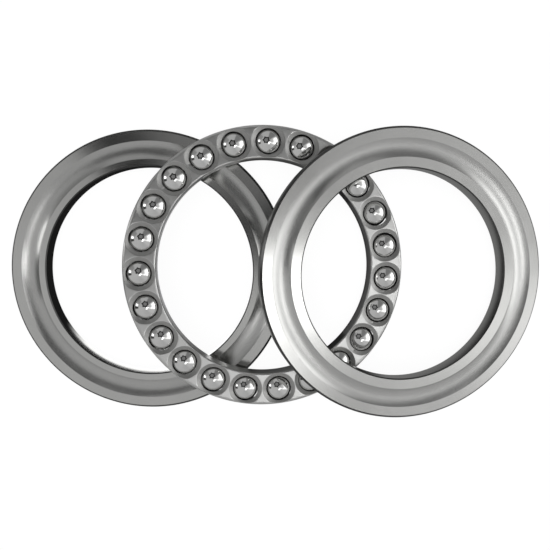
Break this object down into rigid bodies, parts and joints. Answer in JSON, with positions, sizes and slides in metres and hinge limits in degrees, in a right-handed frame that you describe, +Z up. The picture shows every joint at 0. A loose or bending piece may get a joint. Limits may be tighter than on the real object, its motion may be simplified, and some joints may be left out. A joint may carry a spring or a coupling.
{
  "type": "thrust ball bearing",
  "caption": "Single-direction thrust ball bearing opened into a fan: housing washer, pressed cage with its balls, and shaft washer, each leaning on the one before.",
  "frame": {"origin": "centre of the housing washer's back face, on the surface that the pieces lie on", "axes": "+Z up along the housing washer's axis, out of its raceway side; +X along the fan, from the housing washer towards the shaft washer"},
  "size_m": [0.1701, 0.0906, 0.0205],
  "materials": {
    "washer_steel": "ground and lapped, bright",
    "cage_steel": "pressed sheet steel, satin",
    "ball_steel": "mirror polished"
  },
  "bodies": {
    "housing_washer": {"housing_washer": "washer_steel"},
    "shaft_washer": {"shaft_washer": "washer_steel"},
    "cage": {"cage": "cage_steel"},
    "ball_01": {"ball_01": "ball_steel"},
    "ball_02": {"ball_02": "ball_steel"},
    "ball_03": {"ball_03": "ball_steel"},
    "ball_04": {"ball_04": "ball_steel"},
    "ball_05": {"ball_05": "ball_steel"},
    "ball_06": {"ball_06": "ball_steel"},
    "ball_07": {"ball_07": "ball_steel"},
    "ball_08": {"ball_08": "ball_steel"},
    "ball_09": {"ball_09": "ball_steel"},
    "ball_10": {"ball_10": "ball_steel"},
    "ball_11": {"ball_11": "ball_steel"},
    "ball_12": {"ball_12": "ball_steel"},
    "ball_13": {"ball_13": "ball_steel"},
    "ball_14": {"ball_14": "ball_steel"},
    "ball_15": {"ball_15": "ball_steel"},
    "ball_16": {"ball_16": "ball_steel"},
    "ball_17": {"ball_17": "ball_steel"},
    "ball_18": {"ball_18": "ball_steel"},
    "ball_19": {"ball_19": "ball_steel"},
    "ball_20": {"ball_20": "ball_steel"},
    "ball_21": {"ball_21": "ball_steel"},
    "ball_22": {"ball_22": "ball_steel"},
    "ball_23": {"ball_23": "ball_steel"}
  },
  "joints": [
    {"name": "shaft_washer_spin", "type": "hinge", "parent": "housing_washer", "child": "shaft_washer", "pos_m": [0.08037, -0.00042, 0.01027], "axis": [-0.1676, -0.0024, -0.9859], "continuous": true},
    {"name": "cage_spin", "type": "hinge", "parent": "housing_washer", "child": "cage", "pos_m": [0.03733, 0.00167, 0.00877], "axis": [0.1133, 0.005, 0.9936], "continuous": true},
    {"name": "ball_01_spin", "type": "hinge", "parent": "cage", "child": "ball_01", "pos_m": [0.07551, -0.00198, 0.00444], "axis": [0.9892, -0.0946, -0.1123], "continuous": true},
    {"name": "ball_02_spin", "type": "hinge", "parent": "cage", "child": "ball_02", "pos_m": [0.0751, 0.00832, 0.00443], "axis": [0.9786, 0.1724, -0.1124], "continuous": true},
    {"name": "ball_03_spin", "type": "hinge", "parent": "cage", "child": "ball_03", "pos_m": [0.07172, 0.01873, 0.00476], "axis": [0.891, 0.442, -0.1038], "continuous": true},
    {"name": "ball_04_spin", "type": "hinge", "parent": "cage", "child": "ball_04", "pos_m": [0.06603, 0.02726, 0.00537], "axis": [0.7435, 0.663, -0.0881], "continuous": true},
    {"name": "ball_05_spin", "type": "hinge", "parent": "cage", "child": "ball_05", "pos_m": [0.0581, 0.03411, 0.00624], "axis": [0.5381, 0.8404, -0.0656], "continuous": true},
    {"name": "ball_06_spin", "type": "hinge", "parent": "cage", "child": "ball_06", "pos_m": [0.04863, 0.03855, 0.0073], "axis": [0.2927, 0.9554, -0.0382], "continuous": true},
    {"name": "ball_07_spin", "type": "hinge", "parent": "cage", "child": "ball_07", "pos_m": [0.03832, 0.04026, 0.00846], "axis": [0.0257, 0.9996, -0.008], "continuous": true},
    {"name": "ball_08_spin", "type": "hinge", "parent": "cage", "child": "ball_08", "pos_m": [0.02794, 0.0391, 0.00965], "axis": [-0.2432, 0.9697, 0.0228], "continuous": true},
    {"name": "ball_09_spin", "type": "hinge", "parent": "cage", "child": "ball_09", "pos_m": [0.01826, 0.03517, 0.01078], "axis": [-0.4941, 0.8679, 0.0519], "continuous": true},
    {"name": "ball_10_spin", "type": "hinge", "parent": "cage", "child": "ball_10", "pos_m": [0.00999, 0.02875, 0.01175], "axis": [-0.7083, 0.7017, 0.0772], "continuous": true},
    {"name": "ball_11_spin", "type": "hinge", "parent": "cage", "child": "ball_11", "pos_m": [0.00375, 0.02033, 0.01251], "axis": [-0.87, 0.4834, 0.0967], "continuous": true},
    {"name": "ball_12_spin", "type": "hinge", "parent": "cage", "child": "ball_12", "pos_m": [0, 0.01052, 0.01298], "axis": [-0.9672, 0.2293, 0.1091], "continuous": true},
    {"name": "ball_13_spin", "type": "hinge", "parent": "cage", "child": "ball_13", "pos_m": [-0.00099, 0.00006, 0.01315], "axis": [-0.9927, -0.0418, 0.1134], "continuous": true},
    {"name": "ball_14_spin", "type": "hinge", "parent": "cage", "child": "ball_14", "pos_m": [0.00087, -0.01029, 0.01299], "axis": [-0.9445, -0.3098, 0.1092], "continuous": true},
    {"name": "ball_15_spin", "type": "hinge", "parent": "cage", "child": "ball_15", "pos_m": [0.00544, -0.01975, 0.01252], "axis": [-0.8263, -0.5548, 0.097], "continuous": true},
    {"name": "ball_16_spin", "type": "hinge", "parent": "cage", "child": "ball_16", "pos_m": [0.01236, -0.02762, 0.01177], "axis": [-0.6468, -0.7587, 0.0776], "continuous": true},
    {"name": "ball_17_spin", "type": "hinge", "parent": "cage", "child": "ball_17", "pos_m": [0.02114, -0.03331, 0.01079], "axis": [-0.4193, -0.9063, 0.0524], "continuous": true},
    {"name": "ball_18_spin", "type": "hinge", "parent": "cage", "child": "ball_18", "pos_m": [0.03101, -0.0364, 0.00969], "axis": [-0.1638, -0.9862, 0.0237], "continuous": true},
    {"name": "ball_19_spin", "type": "hinge", "parent": "cage", "child": "ball_19", "pos_m": [0.04157, -0.0367, 0.00848], "axis": [0.1098, -0.9939, -0.0075], "continuous": true},
    {"name": "ball_20_spin", "type": "hinge", "parent": "cage", "child": "ball_20", "pos_m": [0.05151, -0.0342, 0.00734], "axis": [0.3673, -0.9294, -0.0372], "continuous": true},
    {"name": "ball_21_spin", "type": "hinge", "parent": "cage", "child": "ball_21", "pos_m": [0.06075, -0.02891, 0.00626], "axis": [0.6069, -0.7921, -0.0652], "continuous": true},
    {"name": "ball_22_spin", "type": "hinge", "parent": "cage", "child": "ball_22", "pos_m": [0.06795, -0.02159, 0.0054], "axis": [0.7932, -0.6027, -0.0874], "continuous": true},
    {"name": "ball_23_spin", "type": "hinge", "parent": "cage", "child": "ball_23", "pos_m": [0.07312, -0.01221, 0.00476], "axis": [0.9273, -0.3597, -0.1039], "continuous": true}
  ],
  "couplings": [
    {"joint": "cage_spin", "follows": "shaft_washer_spin", "ratio": 0.5},
    {"joint": "ball_01_spin", "follows": "shaft_washer_spin", "ratio": -4.421},
    {"joint": "ball_02_spin", "follows": "shaft_washer_spin", "ratio": -4.421},
    {"joint": "ball_03_spin", "follows": "shaft_washer_spin", "ratio": -4.421},
    {"joint": "ball_04_spin", "follows": "shaft_washer_spin", "ratio": -4.421},
    {"joint": "ball_05_spin", "follows": "shaft_washer_spin", "ratio": -4.421},
    {"joint": "ball_06_spin", "follows": "shaft_washer_spin", "ratio": -4.421},
    {"joint": "ball_07_spin", "follows": "shaft_washer_spin", "ratio": -4.421},
    {"joint": "ball_08_spin", "follows": "shaft_washer_spin", "ratio": -4.421},
    {"joint": "ball_09_spin", "follows": "shaft_washer_spin", "ratio": -4.421},
    {"joint": "ball_10_spin", "follows": "shaft_washer_spin", "ratio": -4.421},
    {"joint": "ball_11_spin", "follows": "shaft_washer_spin", "ratio": -4.421},
    {"joint": "ball_12_spin", "follows": "shaft_washer_spin", "ratio": -4.421},
    {"joint": "ball_13_spin", "follows": "shaft_washer_spin", "ratio": -4.421},
    {"joint": "ball_14_spin", "follows": "shaft_washer_spin", "ratio": -4.421},
    {"joint": "ball_15_spin", "follows": "shaft_washer_spin", "ratio": -4.421},
    {"joint": "ball_16_spin", "follows": "shaft_washer_spin", "ratio": -4.421},
    {"joint": "ball_17_spin", "follows": "shaft_washer_spin", "ratio": -4.421},
    {"joint": "ball_18_spin", "follows": "shaft_washer_spin", "ratio": -4.421},
    {"joint": "ball_19_spin", "follows": "shaft_washer_spin", "ratio": -4.421},
    {"joint": "ball_20_spin", "follows": "shaft_washer_spin", "ratio": -4.421},
    {"joint": "ball_21_spin", "follows": "shaft_washer_spin", "ratio": -4.421},
    {"joint": "ball_22_spin", "follows": "shaft_washer_spin", "ratio": -4.421},
    {"joint": "ball_23_spin", "follows": "shaft_washer_spin", "ratio": -4.421}
  ]
}
